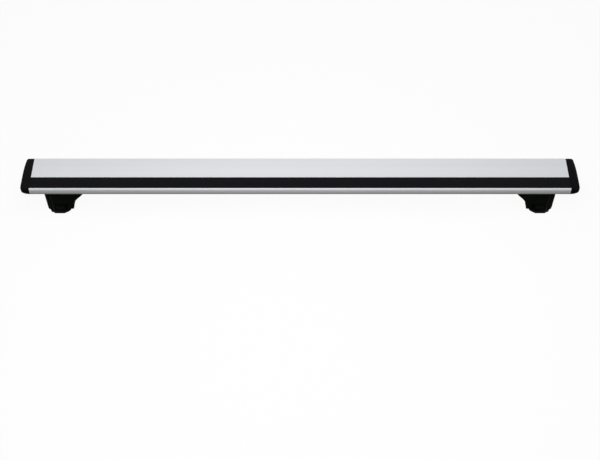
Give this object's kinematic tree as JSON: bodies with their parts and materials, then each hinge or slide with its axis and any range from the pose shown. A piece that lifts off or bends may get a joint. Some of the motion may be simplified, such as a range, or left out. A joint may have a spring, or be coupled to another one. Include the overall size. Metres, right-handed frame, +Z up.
{
  "type": "roof rack crossbar",
  "caption": "Aero roof rack crossbar: hollow aluminium wing section with a rubber strip in its top slot, moulded end caps and sliding feet that clamp to roof rails behind lock covers.",
  "frame": {"origin": "under the middle of the bar, on the plane that the jaws stand on", "axes": "+X to the bar's right end, +Y to its thin rear edge, +Z up"},
  "size_m": [1.1894, 0.088, 0.094],
  "materials": {
    "bar_aluminium": "satin anodised",
    "strip_rubber": "matt black",
    "cap_plastic": "fine grain black",
    "foot_plastic": "moulded black",
    "cover_plastic": "moulded black",
    "jaw_casting": "black powder coat",
    "pad_rubber": "matt black",
    "steel": "zinc plated",
    "lock_metal": "nickel plated"
  },
  "bodies": {
    "bar": {"bar_extrusion": "bar_aluminium", "top_strip": "strip_rubber", "end_cap_left": "cap_plastic", "end_cap_right": "cap_plastic", "end_cap_screws_left": "steel", "end_cap_screws_right": "steel"},
    "foot_right": {"foot_body_right": "foot_plastic", "saddle_pad_right": "pad_rubber", "rail_pad_right": "pad_rubber", "clamp_nut_right": "steel", "track_bolt_right": "steel", "track_washer_right": "steel", "track_nut_right": "steel"},
    "jaw_right": {"clamp_jaw_right": "jaw_casting", "jaw_liner_right": "pad_rubber", "clamp_washer_right": "steel"},
    "bolt_right": {"clamp_bolt_right": "steel"},
    "cover_right": {"lock_cover_right": "cover_plastic", "cover_pin_right": "steel"},
    "lock_right": {"lock_barrel_right": "lock_metal", "lock_cam_right": "steel"},
    "foot_left": {"foot_body_left": "foot_plastic", "saddle_pad_left": "pad_rubber", "rail_pad_left": "pad_rubber", "clamp_nut_left": "steel", "track_bolt_left": "steel", "track_washer_left": "steel", "track_nut_left": "steel"},
    "jaw_left": {"clamp_jaw_left": "jaw_casting", "jaw_liner_left": "pad_rubber", "clamp_washer_left": "steel"},
    "bolt_left": {"clamp_bolt_left": "steel"},
    "cover_left": {"lock_cover_left": "cover_plastic", "cover_pin_left": "steel"},
    "lock_left": {"lock_barrel_left": "lock_metal", "lock_cam_left": "steel"}
  },
  "joints": [
    {"name": "foot_slide_right", "type": "slide", "parent": "bar", "child": "foot_right", "axis": [1, 0, 0], "range_m": [-0.1, 0.015]},
    {"name": "jaw_slide_right", "type": "slide", "parent": "foot_right", "child": "jaw_right", "axis": [1, 0, 0], "range_m": [0, 0.012]},
    {"name": "clamp_bolt_turn_right", "type": "hinge", "parent": "jaw_right", "child": "bolt_right", "pos_m": [0.518, -0.006, 0.049], "axis": [1, 0, 0], "range_deg": [0, 3456]},
    {"name": "cover_hinge_right", "type": "hinge", "parent": "jaw_right", "child": "cover_right", "pos_m": [0.5451, -0.006, 0.0562], "axis": [0, -1, 0], "range_deg": [0, 85]},
    {"name": "lock_turn_right", "type": "hinge", "parent": "cover_right", "child": "lock_right", "pos_m": [0.546, -0.006, 0.026], "axis": [1, 0, 0], "range_deg": [0, 90]},
    {"name": "foot_slide_left", "type": "slide", "parent": "bar", "child": "foot_left", "axis": [-1, 0, 0], "range_m": [-0.1, 0.015]},
    {"name": "jaw_slide_left", "type": "slide", "parent": "foot_left", "child": "jaw_left", "axis": [-1, 0, 0], "range_m": [0, 0.012]},
    {"name": "clamp_bolt_turn_left", "type": "hinge", "parent": "jaw_left", "child": "bolt_left", "pos_m": [-0.518, -0.006, 0.049], "axis": [-1, 0, 0], "range_deg": [0, 3456]},
    {"name": "cover_hinge_left", "type": "hinge", "parent": "jaw_left", "child": "cover_left", "pos_m": [-0.5451, -0.006, 0.0562], "axis": [0, 1, 0], "range_deg": [0, 85]},
    {"name": "lock_turn_left", "type": "hinge", "parent": "cover_left", "child": "lock_left", "pos_m": [-0.546, -0.006, 0.026], "axis": [1, 0, 0], "range_deg": [0, 90]}
  ],
  "couplings": [
    {"joint": "clamp_bolt_turn_right", "follows": "jaw_slide_right", "rad_per_m": 5026.5},
    {"joint": "clamp_bolt_turn_left", "follows": "jaw_slide_left", "rad_per_m": 5026.5}
  ]
}
